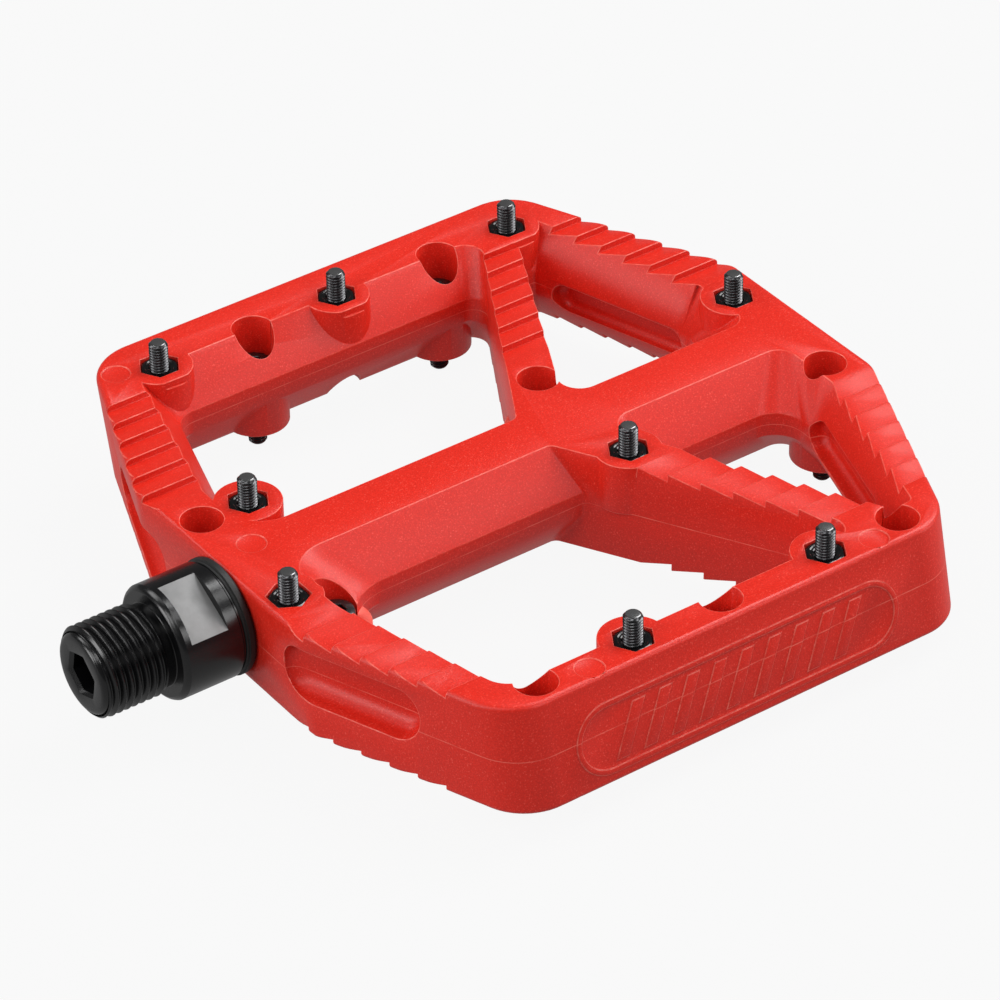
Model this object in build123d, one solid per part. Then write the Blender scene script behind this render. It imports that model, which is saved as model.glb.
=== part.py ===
from build123d import *
import math
import os

# Flat pedal: an open moulded cage that turns on a crank spindle, with threaded traction pins.
# Frame: origin at the centre of the spindle's shoulder face, where the crank seats.
# +X runs along the spindle away from the crank, +Z is up, +Y is one rail of the cage.
# The cage looks the same after half a turn about X, so one face is described and then turned.

# ---- Cage, overall --------------------------------------------------------------------------
body_length = 107.8        # along the spindle
body_width = 110.2         # rail face to rail face, at mid height
body_thickness = 17.0
body_gap = 12.25           # from the crank shoulder to the cage
rail_lean = 1.9            # each rail's outer face leans this far from mid height to either face
edge_round = 0.9

# ---- Cage, outline corners ------------------------------------------------------------------
inner_flank_half = 21.3    # half length of the straight inner end
inner_flank_run = 13.05    # how far the flank comes in along X on its way to the rail
inner_corner_radius = 9.0
outer_flank_half = 17.5
outer_flank_run = 16.2
outer_corner_radius = 8.5
flank_bend_radius = 6.0

# ---- Cage, walls between the windows --------------------------------------------------------
axle_top_half = 4.3        # half width of the bar over the spindle, at the face
axle_wall = 2.4            # bar wall beside the bush, at mid height
rail_top_width = 6.9       # rail, at the face
rail_mid_width = 11.7      # rail, at mid height
inner_strut_width = 8.0
inner_strut_rail_width = 16.4
inner_strut_slope = 4.8    # how far the strut's slope runs into the window
outer_strut_width = 8.0
outer_strut_rail_width = 17.85
outer_strut_slope = 4.2
strut_bend_half = 17.0     # where the struts' window edges bend
strut_bend_shift = 3.5     # the inner strut bends this much further out at mid height
brace_axle_outer = 43.2    # brace edges, measured from the outer end
brace_axle_inner = 51.9
brace_rail_outer = 20.8
brace_rail_inner = 27.25
brace_draft = 0.2
apex_width = 1.0           # web between the small window's point and the rail's window edge
band_half = 2.0            # half height of the upright band at mid height
window_skew = 0.5          # window edges shift this far at each face
window_overrun = 0.15      # window mouths run on past the face by this share of their height
large_window_mid_radii = [9.0, 1.5, 2.5, 4.0, 8.0]
large_window_face_radii = [6.5, 1.5, 3.0, 4.5, 8.0]
small_window_mid_radii = [3.5, 5.0, 6.0, 0.6, 0.6]
small_window_face_radii = [3.5, 3.0, 6.0, 1.2, 1.2]

# ---- Cage, treads and pockets ---------------------------------------------------------------
tread_count = 6
tread_riser = 1.15
tread_land = 0.2
tread_gap = 0.2            # between the treads and the axle pins' bosses
boss_radius = 5.2
inner_pocket_height = 8.4
inner_pocket_depth = 3.4
inner_pocket_rise = 1.5    # pocket centre above mid height
inner_pocket_start = 16.3
inner_pocket_to_rail = 9.3 # pocket end to the rail pins' line
inner_pocket_round = 2.4   # pocket floor's rounded edge
outer_pocket_height = 5.4
outer_pocket_depth = 2.8
outer_pocket_rise = 1.2
outer_pocket_start = 16.0
outer_pocket_to_rail = 8.6
outer_pocket_round = 1.6
pocket_mouth = 3.0         # pocket cutters start this far outside their wall

# ---- Cage, raised panel on each rail --------------------------------------------------------
badge_length = 58.0
badge_height = 11.4
badge_frame = 0.9
badge_proud = 0.4
badge_shift = 2.0
badge_drop = 1.2
rib_count = 9
rib_pitch = 4.9
rib_width = 2.3
rib_gap = 0.8
badge_root = 0.3           # how deep the panel is rooted in the rail
mark_radius = 2.2          # shallow round marks left by the mould
mark_depth = 0.15
near_mark_shift = 7.9      # marks' distances from the pins beside them
outer_mark_shift = 6.0
corner_mark_shift = 6.6
near_mark_inset = 2.0
corner_mark_inset = 1.9
web_mark_shift = 2.6

# ---- Traction pins --------------------------------------------------------------------------
pin_diameter = 3.0
pin_proud = 4.25
pin_clearance = 0.1
head_diameter = 5.5
head_height = 3.0
head_socket = 2.5
head_socket_depth = 1.6
head_recess = 6.25         # head's outer face below the cage's face
head_hole_diameter = 6.5
nut_flats = 5.5
nut_height = 2.4
nut_recess = 0.3
nut_fit = 0.12
thread_gap = 0.05          # between a plain thread and the nut on it
tip_chamfer = 0.4
rail_pin_inset = 6.3       # rail pins' line to the rail's outer face at mid height
axle_pin_line = 11.4       # axle pins' line to the spindle axis
first_pin = 20.6           # from the inner end
last_pin = 22.05           # from the outer end
second_row_shift = 0.7     # the alternate rail pins sit just past the middle of each gap
third_row_shift = 2.8
inner_web_pin = 4.05       # axle pins, from the inner end
inner_boss_pin = 12.1
brace_pin = 43.05          # axle pins, from the outer end
outer_boss_pin = 5.65

# ---- Spindle --------------------------------------------------------------------------------
thread_diameter = 14.2875  # 9/16 inch, 20 threads to the inch
thread_length = 12.2
thread_chamfer = 0.9
socket_flats = 6.0
socket_depth = 9.0
flange_diameter = 18.0
flange_length = 10.1
flange_chamfer = 0.8
flats_width = 15.0
flats_start = 1.75
flats_length = 6.2
flats_angle = 30.0         # the wrench flats stand turned from the cage
rim_chamfer = 0.2          # at the flange's cage side
collar_diameter = 17.2
collar_length = 0.4
seal_seat_diameter = 14.0
seal_diameter = 18.3
seal_round = 0.5
journal_diameter = 11.0
taper_end_diameter = 8.4
spindle_end_diameter = 6.0
spindle_end_chamfer = 0.6
running_clearance = 0.05
face_clearance = 0.12
bore_clearance = 0.4
journal_overrun = 1.0      # journal and bearing shoulder run past their seats
spindle_end_gap = 0.24     # spindle tip past the lock nut

# ---- Bush, bearings and outer end -----------------------------------------------------------
bush_wall = 1.25
bush_length = 14.0
bearing_bore = 6.0
bearing_outer = 13.0
bearing_width = 5.0
ring_wall = 0.9
ball_diameter = 2.0
ball_count = 9
ball_clearance = 0.03
cage_wall = 0.8
cage_width = 3.0
shield_thickness = 0.4
shield_inset = 0.15
washer_diameter = 10.4
washer_thickness = 1.0
lock_nut_flats = 10.0
lock_nut_height = 5.0
insert_height = 1.5
insert_wall = 1.2
insert_lip = 0.4           # nut's lip over its nylon ring
cap_diameter = 14.4
cap_length = 5.6
cap_wall = 1.6
cap_socket = 8.0
cap_socket_depth = 2.6
cap_fit = 0.04
cap_chamfer = 0.3
cap_gap = 0.6              # lock nut to end cap
ring_section = 1.0

# ---- Derived sizes --------------------------------------------------------------------------
half = body_thickness / 2
start = body_gap
end = body_gap + body_length
half_width = body_width / 2
bush_radius = journal_diameter / 2 + running_clearance + bush_wall
axle_mid_half = bush_radius + axle_wall
rail_top = half_width - rail_top_width
rail_mid = half_width - rail_mid_width
rail_pin_line = half_width - rail_pin_inset
tread_start = axle_pin_line + boss_radius - tread_gap
tread_end = rail_pin_line - boss_radius
tread_pitch = (tread_end - tread_start) / tread_count
cap_start = end - cap_length
nut_end = cap_start - cap_gap
washer_start = nut_end - lock_nut_height - washer_thickness
bearing_start = washer_start - 2 * bearing_width
over = 1.0                 # cutters run past the faces they open by this much
head_seat = half - head_recess - head_height
nut_seat = half - nut_recess - nut_height


def face_up(shape):
    """The same shape on the other face of the cage: half a turn about the spindle."""
    return Rot(180, 0, 0) * shape


def rounded_section(points, radii, height):
    """A flat section with rounded corners, at one height."""
    corners = [Vector(x, y, height) for x, y in points]
    return make_face(FilletPolyline(*corners, radius=radii, close=True))


def x_cylinder(radius, x_low, x_high):
    """A cylinder on the spindle axis."""
    return Pos(x_low, 0, 0) * Rot(0, 90, 0) * extrude(Circle(radius), x_high - x_low)


def x_hexagon(flats, x_low, x_high, turn=0.0):
    """A hexagonal bar on the spindle axis, by its width across flats."""
    section = RegularPolygon(flats / 2, 6, major_radius=False, rotation=turn)
    return Pos(x_low, 0, 0) * Rot(0, 90, 0) * extrude(section, x_high - x_low)


def upright(sketch, x, y, z_low, z_high):
    """A plan section raised between two heights at one place."""
    return Pos(x, y, z_low) * extrude(sketch, z_high - z_low)


# ---- Cage -----------------------------------------------------------------------------------
def outline_section(height):
    """The cage's outline at one height: it shifts along Y as the rails' faces lean."""
    shift = rail_lean * height / half
    points = [
        (start, -inner_flank_half + shift),
        (start + inner_flank_run, -half_width + shift),
        (end - outer_flank_run, -half_width + shift),
        (end, -outer_flank_half + shift),
        (end, outer_flank_half + shift),
        (end - outer_flank_run, half_width + shift),
        (start + inner_flank_run, half_width + shift),
        (start, inner_flank_half + shift),
    ]
    inner = [flank_bend_radius, inner_corner_radius]
    outer = [outer_corner_radius, flank_bend_radius]
    radii = inner + outer + outer[::-1] + inner[::-1]
    return rounded_section(points, radii, height)


def cage_blank():
    """The solid slab that the windows are cut from."""
    blank = loft([outline_section(-half), outline_section(half)], ruled=True)
    rims = blank.faces().filter_by(Axis.Z)
    return fillet(rims.edges(), edge_round)


def strut_edge(width, rail_width, y):
    """How far a strut's window edge stands from the cage's end, at a distance from the axle."""
    share = (y - strut_bend_half) / (rail_top - strut_bend_half)
    return width + (rail_width - width) * max(share, 0.0)


def brace_edge(at_axle, at_rail, y):
    """How far a brace's edge stands from the outer end, at a distance from the axle."""
    share = (y - axle_top_half) / (rail_top - axle_top_half)
    return end - at_axle + (at_axle - at_rail) * share


def large_window_corners(level):
    """Corners of the large window at mid height (level 0) and at the face (level 1)."""
    axle = axle_mid_half + (axle_top_half - axle_mid_half) * level
    rail = rail_mid + (rail_top - rail_mid) * level
    slope = inner_strut_slope * (1 - level)
    draft = brace_draft * (1 - level)
    strut = start + inner_strut_width + slope
    strut_rail = start + strut_edge(inner_strut_width, inner_strut_rail_width, rail) + slope
    return [
        (strut, axle),
        (brace_edge(brace_axle_inner, brace_rail_inner, axle) - draft, axle),
        (brace_edge(brace_axle_inner, brace_rail_inner, rail) - draft, rail),
        (strut_rail, rail),
        (strut, strut_bend_half + strut_bend_shift * (1 - level)),
    ]


def small_window_corners(level):
    """Corners of the small window at mid height (level 0) and at the face (level 1)."""
    axle = axle_mid_half + (axle_top_half - axle_mid_half) * level
    rail = rail_mid + (rail_top - rail_mid - apex_width) * level
    slope = outer_strut_slope * (1 - level)
    draft = brace_draft * (1 - level)
    strut = end - outer_strut_width - slope
    strut_rail = end - strut_edge(outer_strut_width, outer_strut_rail_width, rail) - slope
    return [
        (brace_edge(brace_axle_outer, brace_rail_outer, axle) + draft, axle),
        (strut, axle),
        (strut, strut_bend_half),
        (strut_rail, rail),
        (brace_edge(brace_axle_outer, brace_rail_outer, rail) + draft, rail),
    ]


def window_section(corners, radii, level, side):
    """One level of a window on one side of the axle, shifted as the faces are skewed."""
    height = band_half + (half - band_half) * level
    shift = window_skew * level
    points = [(x, side * y + shift) for x, y in corners(level)]
    return rounded_section(points, radii(level), height)


def blended(mid, face, level):
    """Corner radii between those at mid height and those at the face."""
    return [low + (high - low) * level for low, high in zip(mid, face)]


def large_window_radii(level):
    """The large window's corner radii, in the order of its corners."""
    return blended(large_window_mid_radii, large_window_face_radii, level)


def small_window_radii(level):
    """The small window's corner radii, in the order of its corners."""
    return blended(small_window_mid_radii, small_window_face_radii, level)


def window_cutters(side):
    """The sloped mouths on the upper face and the upright band of one side's two windows."""
    cutters = []
    for corners, radii in [
        (large_window_corners, large_window_radii),
        (small_window_corners, small_window_radii),
    ]:
        band = window_section(corners, radii, 0.0, side)
        mouth = window_section(corners, radii, 1 + window_overrun, side)
        cutters.append(loft([band, mouth], ruled=True))
        cutters.append(extrude(Pos(0, 0, -2 * band_half) * band, 2 * band_half))
    return cutters


def pin_places():
    """Where the pins stand on the upper face: x, y and the nut's turn in degrees."""
    first = start + first_pin
    last = end - last_pin
    middle = (first + last) / 2
    return [
        (first, rail_pin_line, 0),
        (middle, rail_pin_line, 0),
        (last, rail_pin_line, 0),
        (end - outer_boss_pin, axle_pin_line, 0),
        (end - brace_pin, -axle_pin_line, 0),
        (start + inner_boss_pin, axle_pin_line, 0),
        (start + inner_web_pin, -axle_pin_line, 30),
        ((middle + last) / 2 + third_row_shift, -rail_pin_line, 0),
        ((first + middle) / 2 + second_row_shift, -rail_pin_line, 0),
    ]


def boss_group():
    """Round bosses that carry the upper face's nuts, down to mid height."""
    return [upright(Circle(boss_radius), x, y, 0, half) for x, y, _ in pin_places()]


def tread_cutters():
    """Sawtooth treads on the struts and braces: each one falls towards its rail."""
    fall = tread_riser / (tread_pitch - tread_land)
    cutters = []
    for side in (-1, 1):
        for index in range(tread_count):
            crest = tread_start + index * tread_pitch + tread_land
            foot = tread_start + (index + 1) * tread_pitch
            profile = [
                (start - over, side * (crest - over / fall) + window_skew, half + over),
                (start - over, side * foot + window_skew, half - tread_riser),
                (start - over, side * foot + window_skew, half + over),
            ]
            section = make_face(Polyline(*profile, close=True))
            cutters.append(extrude(section, body_length + 2 * over, dir=(1, 0, 0)))
    return cutters


def pin_holes():
    """Nut pocket, shank hole and head hole for each pin that stands out of the upper face."""
    cutters = []
    for x, y, turn in pin_places():
        pocket = RegularPolygon(nut_flats / 2 + nut_fit, 6, major_radius=False, rotation=turn)
        cutters.append(upright(pocket, x, y, nut_seat, half + over))
        cutters.append(upright(Circle(pin_diameter / 2 + pin_clearance), x, y, -half, half))
        cutters.append(upright(Circle(head_hole_diameter / 2), x, y, -half - over, -head_seat))
    return cutters


def pill_pocket(place, along, outward, length, height, depth, floor_round):
    """A pill-shaped pocket sunk into a wall, with a rounded floor edge."""
    plane = Plane(origin=place + outward * pocket_mouth, x_dir=along, z_dir=outward)
    pocket = extrude(plane * SlotOverall(length, height), -(depth + pocket_mouth))
    floor = pocket.faces().sort_by(Axis(place, outward))[0]
    return fillet(floor.edges(), floor_round)


def flank_pocket():
    """Pill-shaped pocket in the flank of one inner strut."""
    low = -inner_pocket_start
    high = -(rail_pin_line - inner_pocket_to_rail)
    run = inner_flank_run / (half_width - inner_flank_half)
    middle = (low + high) / 2
    along = Vector(run, -1, 0).normalized()
    outward = Vector(-1, -run, 0).normalized()
    place = Vector(start + run * (-middle - inner_flank_half), middle, inner_pocket_rise)
    length = (low - high) / abs(along.Y)
    sizes = (inner_pocket_height, inner_pocket_depth, inner_pocket_round)
    return pill_pocket(place, along, outward, length, *sizes)


def window_pocket():
    """Pill-shaped pocket in the window side of one outer strut."""
    low = -outer_pocket_start
    high = -(rail_pin_line - outer_pocket_to_rail)
    wall = outer_strut_rail_width - outer_strut_width
    run = wall / (rail_top - strut_bend_half)
    middle = (low + high) / 2
    along = Vector(-run, -1, 0).normalized()
    outward = Vector(-1, run, 0).normalized()
    edge = outer_strut_width + outer_strut_slope + run * (-middle - strut_bend_half)
    place = Vector(end - edge, middle, outer_pocket_rise)
    length = (low - high) / abs(along.Y)
    sizes = (outer_pocket_height, outer_pocket_depth, outer_pocket_round)
    return pill_pocket(place, along, outward, length, *sizes)


def slanted_rib(width, height):
    """Outline of one rib that leans a quarter of its height to each side."""
    lean = height / 4
    points = [
        (-width / 2 - lean, -height / 2),
        (width / 2 - lean, -height / 2),
        (width / 2 + lean, height / 2),
        (-width / 2 + lean, height / 2),
    ]
    return make_face(Polyline(*points, close=True))


def rail_badge():
    """Plain raised panel on one rail's outer face: a pill-shaped frame round slanted ribs."""
    lean = math.atan2(rail_lean, half)
    outward = Vector(0, -math.cos(lean), math.sin(lean))
    centre = Vector((start + end) / 2 - badge_shift, -half_width, -badge_drop)
    plane = Plane(origin=centre, x_dir=(1, 0, 0), z_dir=outward)
    inner_length = badge_length - 2 * badge_frame
    inner_height = badge_height - 2 * badge_frame
    frame = SlotOverall(badge_length, badge_height) - SlotOverall(inner_length, inner_height)
    ribs = []
    for index in range(rib_count):
        x = (index - (rib_count - 1) / 2) * rib_pitch
        ribs.append(Pos(x, 0) * slanted_rib(rib_width, inner_height - 2 * rib_gap))
    rooted = plane * Pos(0, 0, -badge_root)
    return [extrude(rooted * face, badge_proud + badge_root) for face in [frame] + ribs]


def axle_bores():
    """Stepped bore for the bush, the spindle, the bearings and the end cap."""
    journal = journal_diameter / 2 + bore_clearance
    return [
        x_cylinder(journal, start - over, end + over),
        x_cylinder(bush_radius, start - over, start + bush_length),
        x_cylinder(bearing_outer / 2, bearing_start, end + over),
        x_cylinder(cap_diameter / 2, cap_start, end + over),
    ]


def mould_marks():
    """Shallow round marks on the upper face."""
    places = [
        (start + first_pin + near_mark_shift, -rail_pin_line - near_mark_inset),
        (end - last_pin - outer_mark_shift, -rail_pin_line - near_mark_inset),
        (start + first_pin - corner_mark_shift, rail_pin_line + corner_mark_inset),
        (start + inner_web_pin + web_mark_shift, axle_top_half / 2),
    ]
    return [upright(Circle(mark_radius), x, y, half - mark_depth, half + over) for x, y in places]


def pedal_body():
    """The moulded cage: two rails, an axle bar, struts and braces round four windows."""
    blank = cage_blank()
    body = blank
    for side in (-1, 1):
        for cutter in window_cutters(side):
            body -= cutter
            body -= face_up(cutter)
    for boss in boss_group():
        body += boss & blank
        body += face_up(boss) & blank
    for panel in rail_badge():
        body += panel
        body += face_up(panel)
    cutters = tread_cutters() + pin_holes() + mould_marks() + [flank_pocket(), window_pocket()]
    for cutter in cutters:
        body -= cutter
        body -= face_up(cutter)
    for bore in axle_bores():
        body -= bore
    return body


# ---- Traction pins --------------------------------------------------------------------------
def pin_screw():
    """One socket-head screw, standing up through the face, with its axis on Z."""
    tip = half + pin_proud
    shank = upright(Circle(pin_diameter / 2), 0, 0, -head_seat, tip)
    shank = chamfer(shank.faces().sort_by(Axis.Z)[-1].edges(), tip_chamfer)
    head = upright(Circle(head_diameter / 2), 0, 0, -head_seat - head_height, -head_seat)
    head = chamfer(head.faces().sort_by(Axis.Z)[0].edges(), tip_chamfer)
    hexagon = RegularPolygon(head_socket / 2, 6, major_radius=False)
    low = -head_seat - head_height
    return shank + head - upright(hexagon, 0, 0, low - over, low + head_socket_depth)


def pin_nut():
    """One hexagon nut in its pocket, with its axis on Z."""
    hexagon = RegularPolygon(nut_flats / 2, 6, major_radius=False)
    nut = upright(hexagon, 0, 0, nut_seat, nut_seat + nut_height)
    corner = nut_flats / math.sqrt(3)
    lathe = upright(Circle(corner), 0, 0, nut_seat, nut_seat + nut_height)
    lathe = chamfer(lathe.faces().sort_by(Axis.Z)[-1].edges(), corner - nut_flats / 2)
    thread = Circle(pin_diameter / 2 + thread_gap)
    return (nut & lathe) - upright(thread, 0, 0, nut_seat - over, half + over)


def pin_copies(piece):
    """Copies of one pin piece at every place on the upper face."""
    return [Pos(x, y, 0) * Rot(0, 0, turn) * piece for x, y, turn in pin_places()]


# ---- Spindle --------------------------------------------------------------------------------
def turned(points):
    """A solid turned about the spindle axis from (x, radius) points."""
    profile = [(x, 0, radius) for x, radius in points]
    return revolve(make_face(Polyline(*profile, close=True)), Axis.X, 360)


def spindle():
    """The spindle: crank thread, wrench flange, bush journal, taper and bearing seat."""
    thread = thread_diameter / 2
    flange = flange_diameter / 2
    seal_start = flange_length + collar_length
    journal_start = start - face_clearance
    journal_end = start + bush_length + journal_overrun
    tip = nut_end + spindle_end_gap
    end_radius = spindle_end_diameter / 2
    points = [
        (-thread_length, 0),
        (-thread_length, thread - thread_chamfer),
        (-thread_length + thread_chamfer, thread),
        (0, thread),
        (0, flange - flange_chamfer),
        (flange_chamfer, flange),
        (flange_length - rim_chamfer, flange),
        (flange_length, flange - rim_chamfer),
        (flange_length, collar_diameter / 2),
        (seal_start, collar_diameter / 2),
        (seal_start, seal_seat_diameter / 2),
        (journal_start, seal_seat_diameter / 2),
        (journal_start, journal_diameter / 2),
        (journal_end, journal_diameter / 2),
        (bearing_start - journal_overrun, taper_end_diameter / 2),
        (bearing_start, taper_end_diameter / 2),
        (bearing_start, end_radius),
        (tip - spindle_end_chamfer, end_radius),
        (tip, end_radius - spindle_end_chamfer),
        (tip, 0),
    ]
    shape = turned(points)
    socket = x_hexagon(socket_flats, -thread_length - over, -thread_length + socket_depth)
    shape -= socket
    for side in (-1, 1):
        depth = flange_diameter
        block = Box(flats_length, flange_diameter * 2, depth)
        middle = flats_start + flats_length / 2
        block = Pos(middle, 0, side * (flats_width / 2 + depth / 2)) * block
        shape -= Rot(flats_angle, 0, 0) * block
    return shape


def dust_seal():
    """Rubber ring on the spindle that wipes the cage's inner end."""
    low = flange_length + collar_length
    high = start - face_clearance
    ring = x_cylinder(seal_diameter / 2, low, high)
    ring = fillet(ring.faces().sort_by(Axis.X)[-1].edges(), seal_round)
    return ring - x_cylinder(seal_seat_diameter / 2, low - over, high + over)


def plain_bush():
    """Plain bush pressed into the cage's inner end, running on the spindle's journal."""
    outside = x_cylinder(bush_radius, start, start + bush_length)
    journal = journal_diameter / 2 + running_clearance
    return outside - x_cylinder(journal, start - over, start + bush_length + over)


# ---- Bearings -------------------------------------------------------------------------------
def ball_track(low):
    """The ring-shaped groove that a bearing's balls roll in."""
    pitch = (bearing_bore + bearing_outer) / 4
    groove = Torus(pitch, ball_diameter / 2 + ball_clearance)
    return Pos(low + bearing_width / 2, 0, 0) * Rot(0, 90, 0) * groove


def outer_ring(low):
    """A bearing's outer ring, pressed into the cage."""
    outside = x_cylinder(bearing_outer / 2, low, low + bearing_width)
    inside = x_cylinder(bearing_outer / 2 - ring_wall, low - over, low + bearing_width + over)
    return outside - inside - ball_track(low)


def inner_ring(low):
    """A bearing's inner ring, seated on the spindle."""
    outside = x_cylinder(bearing_bore / 2 + ring_wall, low, low + bearing_width)
    inside = x_cylinder(bearing_bore / 2, low - over, low + bearing_width + over)
    return outside - inside - ball_track(low)


def ball_copies(radius, low):
    """Spheres at a bearing's ball places."""
    pitch = (bearing_bore + bearing_outer) / 4
    middle = low + bearing_width / 2
    step = 360 / ball_count
    return [Rot(step * index, 0, 0) * Pos(middle, 0, pitch) * Sphere(radius)
            for index in range(ball_count)]


def ball_cage(low):
    """The ring that spaces a bearing's balls."""
    pitch = (bearing_bore + bearing_outer) / 4
    x_low = low + (bearing_width - cage_width) / 2
    cage_ring = x_cylinder(pitch + cage_wall / 2, x_low, x_low + cage_width)
    cage_ring -= x_cylinder(pitch - cage_wall / 2, x_low - over, x_low + cage_width + over)
    for pocket in ball_copies(ball_diameter / 2 + ball_clearance, low):
        cage_ring -= pocket
    return cage_ring


def bearing_shields(low):
    """The two shields held by a bearing's outer ring."""
    reach = bearing_bore / 2 + ring_wall + running_clearance
    held = bearing_outer / 2 - ring_wall
    shields = []
    for x in (low + shield_inset, low + bearing_width - shield_inset - shield_thickness):
        disc = x_cylinder(held, x, x + shield_thickness)
        shields.append(disc - x_cylinder(reach, x - over, x + shield_thickness + over))
    return Compound(shields)


# ---- Outer end ------------------------------------------------------------------------------
def lock_washer():
    """Flat washer between the outboard bearing and the lock nut."""
    disc = x_cylinder(washer_diameter / 2, washer_start, washer_start + washer_thickness)
    hole = spindle_end_diameter / 2 + thread_gap
    return disc - x_cylinder(hole, washer_start - over, washer_start + washer_thickness + over)


def insert_bounds():
    """Where the lock nut's nylon ring sits along the spindle, and its outer radius."""
    high = nut_end - insert_lip
    return high - insert_height, high, spindle_end_diameter / 2 + thread_gap + insert_wall


def lock_nut():
    """Lock nut: a hexagon with a round collar that holds a nylon ring."""
    low = washer_start + washer_thickness
    shoulder = nut_end - insert_height
    hexagon = x_hexagon(lock_nut_flats, low, shoulder)
    collar = x_cylinder(lock_nut_flats / 2 - thread_gap, shoulder, nut_end)
    insert_low, insert_high, insert_radius = insert_bounds()
    nut = hexagon + collar - x_cylinder(insert_radius, insert_low, insert_high)
    return nut - x_cylinder(spindle_end_diameter / 2 + thread_gap, low - over, nut_end + over)


def lock_nut_ring():
    """The nylon ring in the lock nut."""
    low, high, radius = insert_bounds()
    inside = x_cylinder(spindle_end_diameter / 2, low - over, high + over)
    return x_cylinder(radius, low, high) - inside


def end_cap():
    """Screwed cap that closes the outer end, with a hexagon socket and a seal groove."""
    radius = cap_diameter / 2 - cap_fit
    cap = x_cylinder(radius, cap_start, end)
    cap = chamfer(cap.faces().sort_by(Axis.X)[-1].edges(), cap_chamfer)
    cap -= x_cylinder(radius - cap_wall, cap_start - over, end - cap_socket_depth - cap_wall)
    cap -= x_hexagon(cap_socket, end - cap_socket_depth, end + over)
    return cap - cap_groove()


def cap_groove():
    """The groove round the end cap for its sealing ring."""
    middle = cap_start + ring_section
    groove = x_cylinder(cap_diameter / 2, middle - ring_section / 2, middle + ring_section / 2)
    return groove - x_cylinder(cap_diameter / 2 - ring_section, cap_start - over, end)


def end_cap_ring():
    """Rubber sealing ring in the end cap's groove."""
    ring = Torus(cap_diameter / 2 - ring_section / 2, ring_section / 2)
    return Pos(cap_start + ring_section, 0, 0) * Rot(0, 90, 0) * ring


# ---- Assembly -------------------------------------------------------------------------------
def bearing_nodes(name, low):
    """The separate pieces of one cartridge bearing, by node name."""
    return {
        name + "_outer_ring": outer_ring(low),
        name + "_inner_ring": inner_ring(low),
        name + "_balls": Compound(ball_copies(ball_diameter / 2, low)),
        name + "_ball_cage": ball_cage(low),
        name + "_shields": bearing_shields(low),
    }


def all_nodes():
    """Every piece of the pedal, by node name."""
    screws = pin_copies(pin_screw())
    nuts = pin_copies(pin_nut())
    nodes = {
        "pedal_body": pedal_body(),
        "upper_pin_screws": Compound(screws),
        "upper_pin_nuts": Compound(nuts),
        "lower_pin_screws": Compound([face_up(screw) for screw in screws]),
        "lower_pin_nuts": Compound([face_up(nut) for nut in nuts]),
        "spindle": spindle(),
        "dust_seal": dust_seal(),
        "plain_bush": plain_bush(),
        "lock_washer": lock_washer(),
        "lock_nut": lock_nut(),
        "lock_nut_ring": lock_nut_ring(),
        "end_cap": end_cap(),
        "end_cap_ring": end_cap_ring(),
    }
    nodes.update(bearing_nodes("inboard_bearing", bearing_start))
    nodes.update(bearing_nodes("outboard_bearing", bearing_start + bearing_width))
    return nodes


os.makedirs("parts", exist_ok=True)
for node_name, node_shape in all_nodes().items():
    export_step(node_shape, "parts/" + node_name + ".step")
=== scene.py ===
import math

import bmesh
import bpy
import numpy as np
from bpy.props import FloatProperty, FloatVectorProperty, IntProperty, PointerProperty
from mathutils import Matrix, Vector


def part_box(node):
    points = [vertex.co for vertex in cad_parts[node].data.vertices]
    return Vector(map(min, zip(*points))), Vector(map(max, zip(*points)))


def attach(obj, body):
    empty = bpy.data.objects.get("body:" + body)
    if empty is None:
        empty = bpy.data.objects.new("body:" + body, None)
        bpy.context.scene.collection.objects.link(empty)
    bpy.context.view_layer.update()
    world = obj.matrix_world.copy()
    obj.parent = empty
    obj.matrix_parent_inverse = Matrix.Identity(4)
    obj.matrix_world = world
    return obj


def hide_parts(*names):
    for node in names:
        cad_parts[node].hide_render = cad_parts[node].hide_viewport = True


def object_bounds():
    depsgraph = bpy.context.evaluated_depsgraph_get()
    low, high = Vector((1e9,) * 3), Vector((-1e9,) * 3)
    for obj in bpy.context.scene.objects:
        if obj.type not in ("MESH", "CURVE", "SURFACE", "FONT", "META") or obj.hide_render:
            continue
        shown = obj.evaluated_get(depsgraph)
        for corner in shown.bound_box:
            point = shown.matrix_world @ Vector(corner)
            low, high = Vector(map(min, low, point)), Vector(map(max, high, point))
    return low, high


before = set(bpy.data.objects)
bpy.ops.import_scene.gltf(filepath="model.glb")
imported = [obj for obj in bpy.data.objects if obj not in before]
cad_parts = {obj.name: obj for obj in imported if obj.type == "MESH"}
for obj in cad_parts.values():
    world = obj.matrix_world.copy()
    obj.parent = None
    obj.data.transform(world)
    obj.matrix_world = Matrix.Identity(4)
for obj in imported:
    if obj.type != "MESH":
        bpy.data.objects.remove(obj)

bl_info = {
    "name": "Flat pedal",
    "version": (1, 0, 0),
    "blender": (4, 5, 0),
    "location": "3D View > Sidebar > Pedal",
    "description": "Builds the visible pieces and finishes of a flat pedal round its frame",
    "category": "Object",
}

# Lengths are in metres, in the frame's axes: +X along the spindle, +Z up.
MM = 0.001
TAU = 2 * math.pi

CAD_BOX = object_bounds()
CAGE_LOW, CAGE_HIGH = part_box("pedal_body")
SPINDLE_LOW, SPINDLE_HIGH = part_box("spindle")
SCREW_LOW, SCREW_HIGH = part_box("upper_pin_screws")
NUT_LOW, NUT_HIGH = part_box("upper_pin_nuts")
SEAL_LOW, SEAL_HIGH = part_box("dust_seal")


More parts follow.
